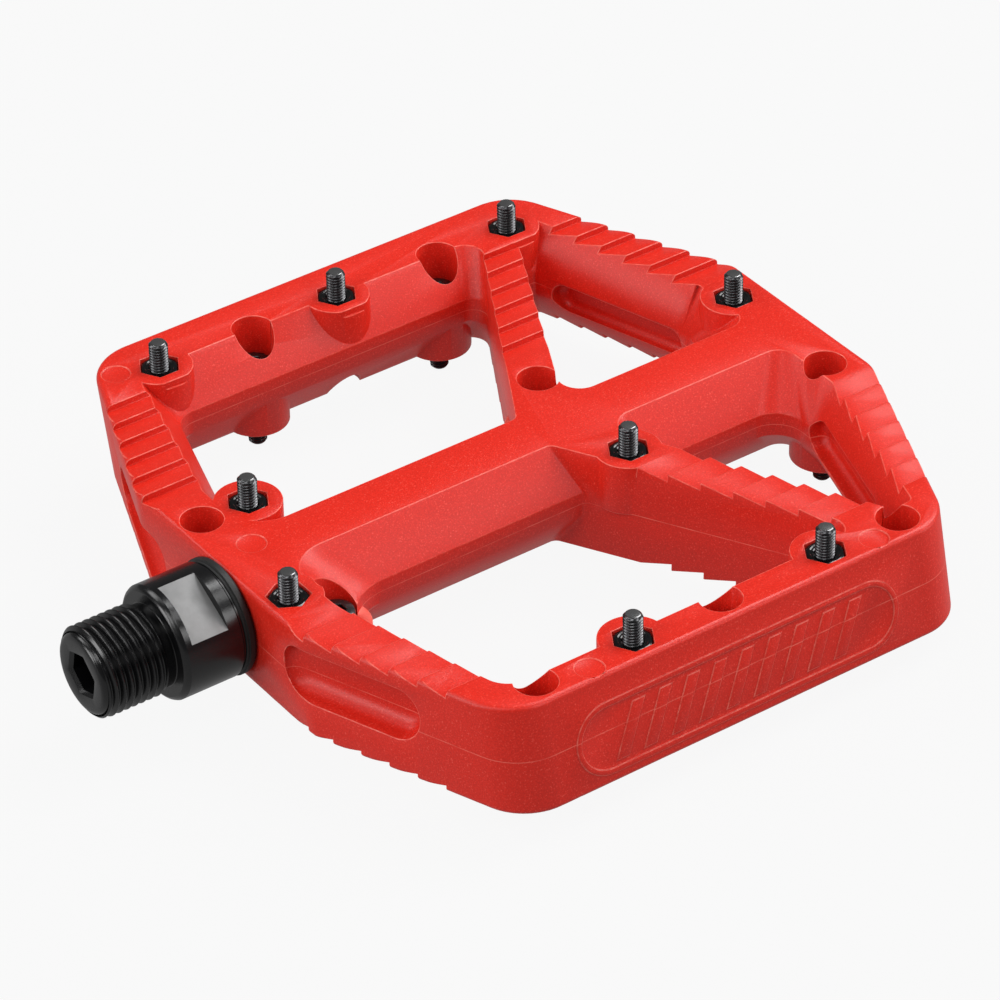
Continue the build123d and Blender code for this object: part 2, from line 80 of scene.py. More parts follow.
# ---- Sizes and colours ----------------------------------------------------------------------
class PedalSizes(bpy.types.PropertyGroup):
    """Sizes of the pieces that are made here."""

    edge_radius: FloatProperty(
        name="Edge radius", description="Rounding of the moulded cage's edges",
        default=0.12 * MM, unit="LENGTH")
    edge_angle: FloatProperty(
        name="Edge angle", description="Edges sharper than this are rounded",
        default=math.radians(36), subtype="ANGLE")
    crank_thread: FloatProperty(
        name="Crank thread", description="Major diameter of the spindle's thread",
        default=14.2875 * MM, unit="LENGTH")
    crank_pitch: FloatProperty(
        name="Crank thread pitch", description="20 turns to the inch",
        default=1.27 * MM, unit="LENGTH")
    flats: FloatProperty(
        name="Wrench flats", description="Spindle width across the flats",
        default=15 * MM, unit="LENGTH")
    flats_start: FloatProperty(
        name="Flats start", description="From the shoulder to the wrench flats",
        default=1.75 * MM, unit="LENGTH")
    flats_length: FloatProperty(
        name="Flats length", description="The wrench flats along the spindle",
        default=6.2 * MM, unit="LENGTH")
    flange: FloatProperty(
        name="Flange length", description="From the shoulder to the flange's cage side",
        default=10.1 * MM, unit="LENGTH")
    flats_turn: FloatProperty(
        name="Flats turn", description="How far the flats stand turned from the cage",
        default=math.radians(30), subtype="ANGLE")
    pin_thread: FloatProperty(
        name="Pin thread", description="Major diameter of the traction pins",
        default=3 * MM, unit="LENGTH")
    pin_pitch: FloatProperty(
        name="Pin thread pitch", description="Coarse pitch of the traction pins",
        default=0.5 * MM, unit="LENGTH")
    nut_flats: FloatProperty(
        name="Nut flats", description="Pin nuts' width across the flats",
        default=5.5 * MM, unit="LENGTH")
    columns: IntProperty(
        name="Columns", description="Grid columns round a turned piece", default=96, min=24)


class PedalFinish(bpy.types.PropertyGroup):
    """Colours of the finishes."""

    nylon: FloatVectorProperty(
        name="Nylon", description="The moulded cage's colour", subtype="COLOR",
        default=(0.71, 0.02, 0.009), min=0, max=1)
    # Pale nylon: painted highlight (with some wear) on the convex edges, also the pale specks and
    # the parting line.
    nylon_pale_and_highlight: FloatVectorProperty(
        name="Nylon edges", description="The cage's painted edge highlight, pale specks and parting line", subtype="COLOR",
        default=(0.9, 0.2, 0.15), min=0, max=1)
    plated_black: FloatVectorProperty(
        name="Plated black", description="The spindle's colour", subtype="COLOR",
        default=(0.004, 0.004, 0.0045), min=0, max=1)
    bare_steel: FloatVectorProperty(
        name="Bare steel", description="Colour of the machined flats", subtype="COLOR",
        default=(0.3, 0.3, 0.3), min=0, max=1)
    pin_steel: FloatVectorProperty(
        name="Pin steel", description="Colour of the traction pins", subtype="COLOR",
        default=(0.1, 0.1, 0.104), min=0, max=1)
    rubber: FloatVectorProperty(
        name="Rubber", description="Colour of the seals", subtype="COLOR",
        default=(0.008, 0.008, 0.008), min=0, max=1)


class StageSettings(bpy.types.PropertyGroup):
    """The floor, the lights and the camera."""

    camera_azimuth: FloatProperty(
        name="Camera azimuth", description="Heading of the view, turned from +Y towards +X",
        default=math.radians(35.126), subtype="ANGLE")
    camera_elevation: FloatProperty(
        name="Camera elevation", description="How far the view looks down",
        default=math.radians(35.941), subtype="ANGLE")
    camera_roll: FloatProperty(
        name="Camera roll", description="Turn of the camera about its view",
        default=math.radians(0.923), subtype="ANGLE")
    camera_distance: FloatProperty(
        name="Camera distance", description="From the camera to the point it looks at",
        default=0.7723, unit="LENGTH")
    camera_lens: FloatProperty(
        name="Lens", description="Focal length in millimetres on a 36 mm sensor", default=185.69)
    aim: FloatVectorProperty(
        name="Aim", description="The point the camera looks at", subtype="XYZ", unit="LENGTH",
        default=(0.0615, -0.0001, -0.0009))
    floor_colour: FloatVectorProperty(
        name="Floor", description="The floor's colour under the lights", subtype="COLOR",
        default=(0.02, 0.02, 0.02), min=0, max=1)
    floor_glow: FloatProperty(
        name="Floor glow", description="The lit floor's brightness as it is seen", default=0.92)
    floor_bounce: FloatProperty(
        name="Floor bounce", description="What the lit floor gives back to the pedal",
        default=0.387)
    floor_size: FloatProperty(
        name="Floor size", description="Side of the floor", default=12.0, unit="LENGTH")
    light_power: FloatProperty(
        name="Soft boxes", description="Power shared out among the soft boxes",
        default=30.0, unit="POWER")
    light_distance: FloatProperty(
        name="Soft box distance", description="From the pedal to each soft box",
        default=1.2, unit="LENGTH")
    light_size: FloatProperty(
        name="Soft box size", description="Diameter of each soft box", default=0.5,
        unit="LENGTH")
    world_strength: FloatProperty(
        name="Surroundings", description="Strength of the plain surroundings", default=0.127)


# ---- Meshes ---------------------------------------------------------------------------------
def mesh_piece(name, verts, faces, angle=math.radians(30)):
    """A new object from arrays, with doubles merged and faces pointing outwards."""
    weld = 0.0001 * MM
    mesh = bpy.data.meshes.new(name)
    mesh.from_pydata(verts, [], faces.tolist())
    work = bmesh.new()
    work.from_mesh(mesh)
    bmesh.ops.remove_doubles(work, verts=work.verts, dist=weld)
    bmesh.ops.dissolve_degenerate(work, edges=work.edges, dist=weld)
    bmesh.ops.recalc_face_normals(work, faces=work.faces)
    work.to_mesh(mesh)
    work.free()
    mesh.shade_smooth()
    mesh.set_sharp_from_angle(angle=angle)
    piece = bpy.data.objects.new(name, mesh)
    bpy.context.scene.collection.objects.link(piece)
    return piece


def grid_faces(rows, columns, shift=0, first=0):
    """Quads of a grid that closes round its columns.

    Corner (row, column) is joined to (row + 1, column + 1). Past the last column a row goes on
    as the row `shift` further along, which closes a screw thread, and as itself if shift is 0.
    """
    row, column = np.meshgrid(np.arange(rows - 1), np.arange(columns), indexing="ij")
    wrap = (column + 1) // columns
    across = (column + 1) % columns

    def index(r):
        return first + np.minimum(r, rows - 1) * columns

    here = index(row) + column
    there = index(row + shift * wrap) + across
    there_next = index(row + 1 + shift * wrap) + across
    here_next = index(row + 1) + column
    return np.stack([here, there, there_next, here_next], -1).reshape(-1, 4)


def turned_points(stations, radii, columns, turn=0.0):
    """Points of a turned surface: at station s and angle a, (s, r cos a, r sin a).

    radii has a row for each station and one column, or a column for each angle.
    """
    angle = np.arange(columns) / columns * TAU + turn
    radius = np.broadcast_to(radii, (len(stations), columns))
    along = np.broadcast_to(np.asarray(stations)[:, None], radius.shape)
    return np.stack([along, radius * np.cos(angle), radius * np.sin(angle)], -1)


def stations_surface(rows, columns):
    """A turned surface's points from rows of a station and its radius, which is one number or
    one for each column."""
    radii = [np.broadcast_to(radius, columns) for _, radius in rows]
    return turned_points([place for place, _ in rows], np.array(radii), columns)


def thread_points(low, high, major, depth, pitch, chamfer, columns, steps=10):
    """Points of a screw thread between two stations.

    Row k and angle a lie at station low + pitch (k / steps - 1 + a / turn), kept between low and
    high. The radius is the major one less the depth times a flattened triangle wave of the
    phase, and no more than a 45 degree chamfer allows at either end.
    """
    turns = (high - low) / pitch + 2
    rows = int(math.ceil(turns * steps)) + 1
    phase = np.arange(rows)[:, None] / steps - 1 + np.arange(columns)[None, :] / columns
    along = np.clip(low + pitch * phase, low, high)
    wave = np.abs(((along - low) / pitch - np.arange(columns) / columns) % 1 * 2 - 1)
    groove = np.clip((wave - 0.12) / 0.72, 0, 1)
    radius = major / 2 - depth * groove
    start = major / 2 - chamfer + (along - low)
    finish = major / 2 - chamfer + (high - along)
    radius = np.minimum(radius, np.minimum(start, finish))
    angle = np.arange(columns) / columns * TAU
    return np.stack([along, radius * np.cos(angle), radius * np.sin(angle)], -1), steps


def stacked_surface(parts, columns):
    """Vertices and faces of surfaces that follow each other: each part is (points, shift)."""
    points = np.concatenate([part.reshape(-1, 3) for part, _ in parts])
    faces = []
    first = 0
    previous = None
    for part, shift in parts:
        rows = part.shape[0]
        faces.append(grid_faces(rows, columns, shift, first))
        if previous is not None:
            column = np.arange(columns)
            after = (column + 1) % columns
            faces.append(np.stack(
                [previous + column, previous + after, first + after, first + column], -1))
        previous = first + (rows - 1) * columns
        first += rows * columns
    return points, np.concatenate(faces)


def ring_rule(apothem, count, columns, turn=0.0):
    """Radius of a regular polygon's side at each column: apothem over the cosine of the angle
    from the nearest flat's middle."""
    angle = np.arange(columns) / columns * TAU - turn
    part = TAU / count
    return apothem / np.cos((angle + part / 2) % part - part / 2)


def along_z(points):
    """Points of a surface turned about X, set upright about Z."""
    return points[..., [1, 2, 0]]


def piece_axes(node, level, reach):
    """The upright axes of a node's separate solids, from their corners near one level: each is
    the middle of the corners that lie within reach of each other."""
    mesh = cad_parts[node].data
    points = np.empty(len(mesh.vertices) * 3)
    mesh.vertices.foreach_get("co", points)
    points = points.reshape(-1, 3)
    points = points[np.abs(points[:, 2] - level) < 1e-5][:, :2]
    axes = []
    while len(points):
        near = np.linalg.norm(points - points[0], axis=1) < reach
        axes.append((points[near].min(0) + points[near].max(0)) / 2)
        points = points[~near]
    return np.array(axes)


def repeated(points, faces, places):
    """One surface repeated at each place: points moved, and faces numbered on."""
    count = len(points)
    moved = points[None] + np.asarray(places)[:, None, :]
    numbers = faces[None] + (np.arange(len(places)) * count)[:, None, None]
    return moved.reshape(-1, 3), numbers.reshape(-1, faces.shape[1])


def quarter_turned(points, axis):
    """Points after a quarter turn about an upright axis at (x, y): (x, y) becomes (-y, x)."""
    offset = points[..., :2] - axis
    turned = np.stack([axis[0] - offset[..., 1], axis[1] + offset[..., 0]], -1)
    return np.concatenate([turned, points[..., 2:]], -1)


def turned_over(points):
    """Points after half a turn about the spindle: y and z change sign."""
    return points * np.array([1.0, -1.0, -1.0])


# ---- Shader groups --------------------------------------------------------------------------
def new_group(name, inputs, outputs):
    """An empty shader node group with named sockets: (name, socket type, default)."""
    group = bpy.data.node_groups.new(name, "ShaderNodeTree")
    for label, kind, value in inputs:
        socket = group.interface.new_socket(label, in_out="INPUT", socket_type=kind)
        if value is not None:
            socket.default_value = value
    for label, kind in outputs:
        group.interface.new_socket(label, in_out="OUTPUT", socket_type=kind)
    source = group.nodes.new("NodeGroupInput")
    target = group.nodes.new("NodeGroupOutput")
    return group, source, target


def math_node(tree, operation, first, second):
    """A math node; each input is a number or a socket."""
    node = tree.nodes.new("ShaderNodeMath")
    node.operation = operation
    for socket, value in zip(node.inputs, (first, second)):
        if isinstance(value, (int, float)):
            socket.default_value = value
        else:
            tree.links.new(value, socket)
    return node.outputs[0]


def noise_node(tree, vector, scale, detail):
    """A noise texture's value at a scale, from a vector socket and a number or socket."""
    node = tree.nodes.new("ShaderNodeTexNoise")
    node.inputs["Detail"].default_value = detail
    tree.links.new(vector, node.inputs["Vector"])
    if isinstance(scale, (int, float)):
        node.inputs["Scale"].default_value = scale
    else:
        tree.links.new(scale, node.inputs["Scale"])
    return node.outputs["Fac"]


def ranged(tree, value, low, high, to_low, to_high):
    """A value mapped from one range to another, kept inside it."""
    node = tree.nodes.new("ShaderNodeMapRange")
    for socket, number in zip(node.inputs[1:5], (low, high, to_low, to_high)):
        socket.default_value = number
    tree.links.new(value, node.inputs[0])
    return node.outputs[0]


def grain_group():
    """Fine surface grain: a height made of coarse and fine noise, and a slow mottle."""
    group, source, target = new_group(
        "surface_grain",
        [("Vector", "NodeSocketVector", None), ("Grain scale", "NodeSocketFloat", 2600.0),
         ("Mottle scale", "NodeSocketFloat", 90.0)],
        [("Height", "NodeSocketFloat"), ("Mottle", "NodeSocketFloat")])
    vector = source.outputs["Vector"]
    fine = noise_node(group, vector, source.outputs["Grain scale"], 3.0)
    half_scale = math_node(group, "MULTIPLY", source.outputs["Grain scale"], 0.37)
    coarse = noise_node(group, vector, half_scale, 2.0)
    height = math_node(group, "ADD", fine, math_node(group, "MULTIPLY", coarse, 0.8))
    mottle = noise_node(group, vector, source.outputs["Mottle scale"], 4.0)
    group.links.new(height, target.inputs["Height"])
    group.links.new(ranged(group, mottle, 0.3, 0.7, 0.0, 1.0), target.inputs["Mottle"])
    return group


def broken_up_mask_group():
    """Edge mask broken up by noise; on the nylon it carries the painted highlight (with some wear)
    along the convex edges, and the parting line.
    """
    group, source, target = new_group(
        "broken_up_mask",
        [("Vector", "NodeSocketVector", None), ("Edge", "NodeSocketFloat", 0.0),
         ("Break up", "NodeSocketFloat", 700.0), ("Amount", "NodeSocketFloat", 0.5)],
        [("Mask", "NodeSocketFloat")])
    broken = noise_node(group, source.outputs["Vector"], source.outputs["Break up"], 5.0)
    broken = ranged(group, broken, 0.35, 0.65, 0.25, 1.0)
    mask = math_node(group, "MULTIPLY", source.outputs["Edge"], broken)
    mask = math_node(group, "MULTIPLY", mask, source.outputs["Amount"])
    group.links.new(mask, target.inputs["Mask"])
    return group


def shared_group(name):
    """A shared node group by name, built the first time it is asked for."""
    makers = {"surface_grain": grain_group, "broken_up_mask": broken_up_mask_group}
    return bpy.data.node_groups.get(name) or makers[name]()


class Finish:
    """A material being put together: a Principled shader on Object coordinates."""

    def __init__(self, name, colour, roughness, metallic=0.0):
        self.material = bpy.data.materials.new(name)
        self.material.use_nodes = True
        self.tree = self.material.node_tree
        self.shader = self.tree.nodes["Principled BSDF"]
        self.shader.inputs["Base Color"].default_value = (*colour, 1)
        self.shader.inputs["Roughness"].default_value = roughness
        self.shader.inputs["Metallic"].default_value = metallic
        self.place = self.tree.nodes.new("ShaderNodeTexCoord").outputs["Object"]

    def placed(self, name, **values):
        """A shared group in this material, with its values set."""
        node = self.tree.nodes.new("ShaderNodeGroup")
        node.node_tree = shared_group(name)
        self.tree.links.new(self.place, node.inputs["Vector"])
        for label, value in values.items():
            node.inputs[label.replace("_", " ")].default_value = value
        return node

    def attribute(self, name):
        """A mask stored on the mesh."""
        node = self.tree.nodes.new("ShaderNodeAttribute")
        node.attribute_name = name
        return node.outputs["Fac"]

    def height(self):
        """How far a point is from the middle plane, z = 0."""
        apart = self.tree.nodes.new("ShaderNodeSeparateXYZ")
        self.tree.links.new(self.place, apart.inputs[0])
        return math_node(self.tree, "ABSOLUTE", apart.outputs["Z"], 0.0)

    def level_line(self, half):
        """A mask that is full on the middle plane and gone at half the line's width."""
        return ranged(self.tree, self.height(), half * 0.4, half, 1.0, 0.0)

    def mix(self, mask, first, second):
        """A colour mixed by a mask; each colour is a colour or a socket."""
        node = self.tree.nodes.new("ShaderNodeMix")
        node.data_type = "RGBA"
        self.tree.links.new(mask, node.inputs[0])
        for socket, value in ((node.inputs[6], first), (node.inputs[7], second)):
            if isinstance(value, bpy.types.NodeSocket):
                self.tree.links.new(value, socket)
            else:
                socket.default_value = (*value, 1)
        return node.outputs[2]

    def paint(self, socket):
        """The shader's base colour."""
        self.tree.links.new(socket, self.shader.inputs["Base Color"])

    def polish(self, mask, low, high):
        """The shader's roughness, from a mask."""
        rough = ranged(self.tree, mask, 0.0, 1.0, low, high)
        self.tree.links.new(rough, self.shader.inputs["Roughness"])

    def bump(self, height, distance, strength=1.0):
        """The shader's normal, from a height."""
        node = self.tree.nodes.new("ShaderNodeBump")
        node.inputs["Distance"].default_value = distance
        node.inputs["Strength"].default_value = strength
        self.tree.links.new(height, node.inputs["Height"])
        self.tree.links.new(node.outputs[0], self.shader.inputs["Normal"])


# ---- Finishes -------------------------------------------------------------------------------
def darker(colour, share):
    """A colour with each part multiplied."""
    return tuple(part * share for part in colour)


def nylon_finish(name, colours):
    """Moulded nylon: fine grain and specks, a painted highlight (with some wear) along the convex
    edges and a faint parting line at mid height.
    """
    finish = Finish(name, colours.nylon, 0.36)
    grain = finish.placed("surface_grain", Grain_scale=7000.0, Mottle_scale=120.0)
    # Painted highlight, with some wear, along the convex rounded edges: the edge mask broken up by
    # noise.
    edge_highlight_and_wear = finish.placed("broken_up_mask", Break_up=900.0, Amount=0.8)
    finish.tree.links.new(finish.attribute("edge"), edge_highlight_and_wear.inputs["Edge"])
    parting = finish.placed("broken_up_mask", Break_up=260.0, Amount=0.7)
    finish.tree.links.new(finish.level_line(0.1 * MM), parting.inputs["Edge"])
    speckle = noise_node(finish.tree, finish.place, 4200.0, 2.0)
    fine = ranged(finish.tree, speckle, 0.35, 0.6, 0.0, 1.0)
    base = finish.mix(fine, darker(colours.nylon, 0.84), colours.nylon)
    pale = ranged(finish.tree, speckle, 0.62, 0.72, 0.0, 0.35)
    base = finish.mix(pale, base, colours.nylon_pale_and_highlight)
    # The painted edge highlight (and wear) in the pale colour.
    base = finish.mix(edge_highlight_and_wear.outputs["Mask"], base, colours.nylon_pale_and_highlight)
    finish.paint(finish.mix(parting.outputs["Mask"], base, colours.nylon_pale_and_highlight))
    finish.polish(grain.outputs["Mottle"], 0.35, 0.38)
    finish.bump(grain.outputs["Height"], 0.02 * MM)
    finish.shader.inputs["Specular IOR Level"].default_value = 0.36
    return finish.material


def plated_finish(name, colour, rough=0.22):
    """Smooth black plating over steel."""
    finish = Finish(name, colour, rough)
    grain = finish.placed("surface_grain", Grain_scale=1800.0, Mottle_scale=300.0)
    finish.paint(finish.mix(grain.outputs["Mottle"], colour, darker(colour, 0.6)))
    finish.polish(grain.outputs["Mottle"], rough * 0.85, rough * 1.2)
    finish.bump(grain.outputs["Height"], 0.006 * MM)
    finish.shader.inputs["Specular IOR Level"].default_value = 0.5
    return finish.material


def steel_finish(name, colour, rough=0.35, metallic=1.0):
    """Machined bare steel with fine tool marks."""
    finish = Finish(name, colour, rough, metallic)
    grain = finish.placed("surface_grain", Grain_scale=2400.0, Mottle_scale=260.0)
    finish.paint(finish.mix(grain.outputs["Mottle"], colour, darker(colour, 0.8)))
    finish.polish(grain.outputs["Mottle"], rough * 0.85, rough * 1.25)
    finish.bump(grain.outputs["Height"], 0.01 * MM)
    return finish.material


def pin_finish(name, colours, tip_level):
    """Dark steel traction pins with ground tips."""
    finish = Finish(name, colours.pin_steel, 0.3, metallic=0.9)
    grain = finish.placed("surface_grain", Grain_scale=1800.0, Mottle_scale=300.0)
    base = finish.mix(grain.outputs["Mottle"], colours.pin_steel, darker(colours.pin_steel, 0.7))
    tip = ranged(finish.tree, finish.height(), tip_level - 0.06 * MM, tip_level, 0.0, 0.8)
    finish.paint(finish.mix(tip, base, colours.bare_steel))
    finish.polish(grain.outputs["Mottle"], 0.2, 0.28)
    finish.bump(grain.outputs["Height"], 0.004 * MM)
    return finish.material


def rubber_finish(name, colour):
    """Matt black rubber."""
    finish = Finish(name, colour, 0.6)
    grain = finish.placed("surface_grain", Grain_scale=2000.0, Mottle_scale=150.0)
    finish.paint(finish.mix(grain.outputs["Mottle"], colour, darker(colour, 0.7)))
    finish.polish(grain.outputs["Mottle"], 0.5, 0.65)
    finish.bump(grain.outputs["Height"], 0.02 * MM)
    return finish.material


def settings():
    """The scene's sizes, finishes and stage settings."""
    scene = bpy.context.scene
    return scene.pedal_sizes, scene.pedal_finish, scene.pedal_stage


def seat(piece, body, slot, *nodes):
    """Ties a new piece to its body and hides the nodes it stands for. The slot is not used."""
    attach(piece, body)
    if nodes:
        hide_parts(*nodes)


# ---- Pieces ---------------------------------------------------------------------------------
def edge_mask(mesh, rounded):
    """Stores how strongly each rounded edge's face stands out, from 0 to 1.

    Only faces with the rounded material number count. Their mask is the sum of the signed angles
    to their neighbours, none for a hollow corner and full at 60 degrees.
    """
    work = bmesh.new()
    work.from_mesh(mesh)
    bends = np.array([sum(edge.calc_face_angle_signed(0.0) for edge in face.edges)
                      for face in work.faces])
    marked = np.array([face.material_index == rounded for face in work.faces])
    work.free()
    mask = np.clip(bends / math.radians(60), 0, 1) * marked
    attribute = mesh.attributes.new("edge", "FLOAT", "FACE")
    attribute.data.foreach_set("value", mask.astype(np.float32))


class PEDAL_OT_cage(bpy.types.Operator):
    """Makes the moulded cage: the frame's cage with its sharp edges rounded"""

    bl_idname = "pedal.cage"
    bl_label = "Cage"

    def execute(self, context):
        sizes, colours, _ = settings()
        weld = 0.001 * MM
        flat_angle = math.radians(0.6)
        sharp_angle = math.radians(35)
        rounded_index = 1
        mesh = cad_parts["pedal_body"].data.copy()
        work = bmesh.new()
        work.from_mesh(mesh)
        bmesh.ops.remove_doubles(work, verts=work.verts, dist=weld)
        bmesh.ops.dissolve_limit(
            work, angle_limit=flat_angle, verts=work.verts, edges=work.edges)
        work.to_mesh(mesh)
        work.free()
        mesh.name = "cage_moulding"
        mesh.materials.clear()
        nylon = nylon_finish("cage_nylon", colours)
        mesh.materials.append(nylon)
        mesh.materials.append(nylon)
        mesh.polygons.foreach_set("material_index", np.zeros(len(mesh.polygons), np.int32))
        piece = bpy.data.objects.new("cage_moulding", mesh)
        context.scene.collection.objects.link(piece)
        bevel = piece.modifiers.new("rounded", "BEVEL")
        bevel.width = sizes.edge_radius
        bevel.segments = 2
        bevel.limit_method = "ANGLE"
        bevel.angle_limit = sizes.edge_angle
        bevel.material = rounded_index
        bevel.use_clamp_overlap = False
        evaluated = piece.evaluated_get(context.evaluated_depsgraph_get())
        rounded = bpy.data.meshes.new_from_object(evaluated)
        piece.modifiers.clear()
        piece.data = rounded
        # This edge mask drives the nylon's painted highlight along the convex edges.
        edge_mask(rounded, rounded_index)
        rounded.polygons.foreach_set(
            "material_index", np.zeros(len(rounded.polygons), np.int32))
        rounded.materials.pop()
        rounded.shade_smooth()
        rounded.set_sharp_from_angle(angle=sharp_angle)
        seat(piece, "platform", "red_nylon", "pedal_body")
        return {"FINISHED"}


class PEDAL_OT_spindle(bpy.types.Operator):
    """Makes the spindle: threaded end, hexagon socket, wrench flange, journal and taper"""

    bl_idname = "pedal.spindle"
    bl_label = "Spindle"

    def execute(self, context):
        sizes, colours, _ = settings()
        columns = sizes.columns
        thread_depth = 0.68 * MM
        thread_chamfer = 0.5 * MM
        thread_start = SPINDLE_LOW.x + 0.6 * MM
        root = sizes.crank_thread / 2 - thread_depth
        neck = -1.1 * MM
        thread_end = neck - 0.4 * MM
        nut_thread = 6 * MM
        nut_thread_depth = 0.5 * MM
        nut_thread_pitch = 1 * MM
        nut_thread_chamfer = 0.6 * MM
        nut_thread_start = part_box("lock_nut")[0].x - 1.2 * MM
        tip = SPINDLE_HIGH.x
        outside = self.flange(sizes, root, neck, columns) + self.journal(nut_thread_start)
        parts = [
            (stations_surface(self.crank_end(root, columns), columns), 0),
            thread_points(thread_start, thread_end, sizes.crank_thread, thread_depth,
                          sizes.crank_pitch, thread_chamfer, columns),
            (stations_surface(outside, columns), 0),
            thread_points(nut_thread_start, tip, nut_thread, nut_thread_depth,
                          nut_thread_pitch, nut_thread_chamfer, columns),
            (stations_surface([(tip, 0.0)], columns), 0),
        ]
        points, faces = stacked_surface(parts, columns)
        piece = mesh_piece("spindle_forging", points, faces, math.radians(25))
        piece.data.materials.append(plated_finish("spindle_black", colours.plated_black))
        piece.data.materials.append(
            steel_finish("spindle_flats", colours.bare_steel, 0.6, metallic=0.35))
        self.mark_flats(piece.data, sizes)
        seat(piece, "spindle", "black_steel", "spindle")
        return {"FINISHED"}

    def crank_end(self, root, columns):
        """Rows of the crank's end: a drilled hexagon socket, its countersink and the rim, which
        is a quarter circle."""
        low = SPINDLE_LOW.x
        drill_point = low + 9 * MM
        socket_floor = low + 7.4 * MM
        drill_radius = 2.7 * MM
        countersink_start = low + 0.7 * MM
        countersink_end = low + 0.1 * MM
        countersink_spread = 0.4 * MM
        face_radius = 4.1 * MM
        rim = 1.1 * MM
        socket = ring_rule(3 * MM, 6, columns, turn=math.radians(12))
        rows = [
            (drill_point, 0.0), (socket_floor, drill_radius), (socket_floor, socket),
            (countersink_start, socket), (countersink_end, socket + countersink_spread),
            (low, face_radius),
        ]
        rows += [(low + rim * (1 - math.cos(t)), root - rim + rim * math.sin(t))
                 for t in np.linspace(0, math.pi / 2, 6)]
        return rows

    def flange(self, sizes, root, neck, columns):
        """Rows of the flange: neck, rounded shoulder, two wrench flats and the groove beside
        the seal. A flat's radius is its distance over the cosine of the angle from it."""
        full = SPINDLE_HIGH.y
        neck_end = -0.1 * MM
        fillet = 0.12 * MM
        groove = 8.55 * MM
        seal_seat = 7 * MM
        flats_low = sizes.flats_start
        flats_high = sizes.flats_start + sizes.flats_length
        end = sizes.flange
        flat = np.abs(ring_rule(sizes.flats / 2, 2, columns, turn=sizes.flats_turn - math.pi / 2))
        across = np.minimum(full, flat)
        return [
            (neck, root), (neck_end, root), (0.0, root + fillet),
            (0.0, full - 0.8 * MM), (0.12 * MM, full - 0.55 * MM),
            (0.45 * MM, full - 0.2 * MM), (0.85 * MM, full),
            (flats_low, full), (flats_low, across), (flats_high, across), (flats_high, full),
            (end - 0.25 * MM, full), (end - 0.05 * MM, full - 0.15 * MM),
            (end, full - 0.3 * MM), (end, groove), (SEAL_LOW.x, groove),
            (SEAL_LOW.x, seal_seat), (SEAL_HIGH.x, seal_seat),
        ]

    def journal(self, nut_thread_start):
        """Rows of the journal in the bush, the taper and the bearings' seat."""
        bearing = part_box("inboard_bearing_inner_ring")[0].x
        journal_radius = 5.5 * MM
        journal_end = SEAL_HIGH.x + 15 * MM
        shoulder_radius = 4.2 * MM
        shoulder = 1 * MM
        bearing_seat = 3 * MM
        return [
            (SEAL_HIGH.x, journal_radius), (journal_end, journal_radius),
            (bearing - shoulder, shoulder_radius), (bearing, shoulder_radius),
            (bearing, bearing_seat), (nut_thread_start, bearing_seat),
        ]

    def mark_flats(self, mesh, sizes):
        """Gives the bare finish to faces that lie on the flats: those on the flange whose
        normal is the flats' own."""
        count = len(mesh.polygons)
        normals = np.empty(count * 3)
        centres = np.empty(count * 3)
        mesh.polygons.foreach_get("normal", normals)
        mesh.polygons.foreach_get("center", centres)
        normals = normals.reshape(-1, 3)
        centres = centres.reshape(-1, 3)
        across = np.array([0.0, -math.sin(sizes.flats_turn), math.cos(sizes.flats_turn)])
        middle = sizes.flats_start + sizes.flats_length / 2
        on_flange = np.abs(centres[:, 0] - middle) < sizes.flats_length / 2 + 0.01 * MM
        on_flat = on_flange & (np.abs(normals @ across) > 0.999)
        mesh.polygons.foreach_set("material_index", on_flat.astype(np.int32))


class PEDAL_OT_seal(bpy.types.Operator):
    """Makes the rubber dust seal between the flange and the cage"""

    bl_idname = "pedal.seal"
    bl_label = "Dust seal"

    def execute(self, context):
        sizes, colours, _ = settings()
        columns = sizes.columns
        low, high = SEAL_LOW.x, SEAL_HIGH.x
        outer = SEAL_HIGH.z
        bore = 7.0 * MM
        step = 0.3 * MM
        lip = 0.45 * MM
        round_off = 0.6 * MM
        bend = np.linspace(0, math.pi / 2, 7)
        stations = np.concatenate([
            [low, low, low + 0.15 * MM, low + 0.35 * MM, low + lip],
            high - round_off + round_off * np.sin(bend), [high, high - 0.2 * MM, low]])
        radii = np.concatenate([
            [bore, outer - lip, outer - step, outer - step, outer],
            outer - round_off + round_off * np.cos(bend), [bore + 0.6 * MM, bore, bore]])
        points = turned_points(stations, radii[:, None], columns)
        faces = grid_faces(len(stations), columns)
        piece = mesh_piece("dust_seal_lip", points.reshape(-1, 3), faces)
        piece.data.materials.append(rubber_finish("seal_rubber", colours.rubber))
        seat(piece, "spindle", "rubber_seal", "dust_seal")
        return {"FINISHED"}


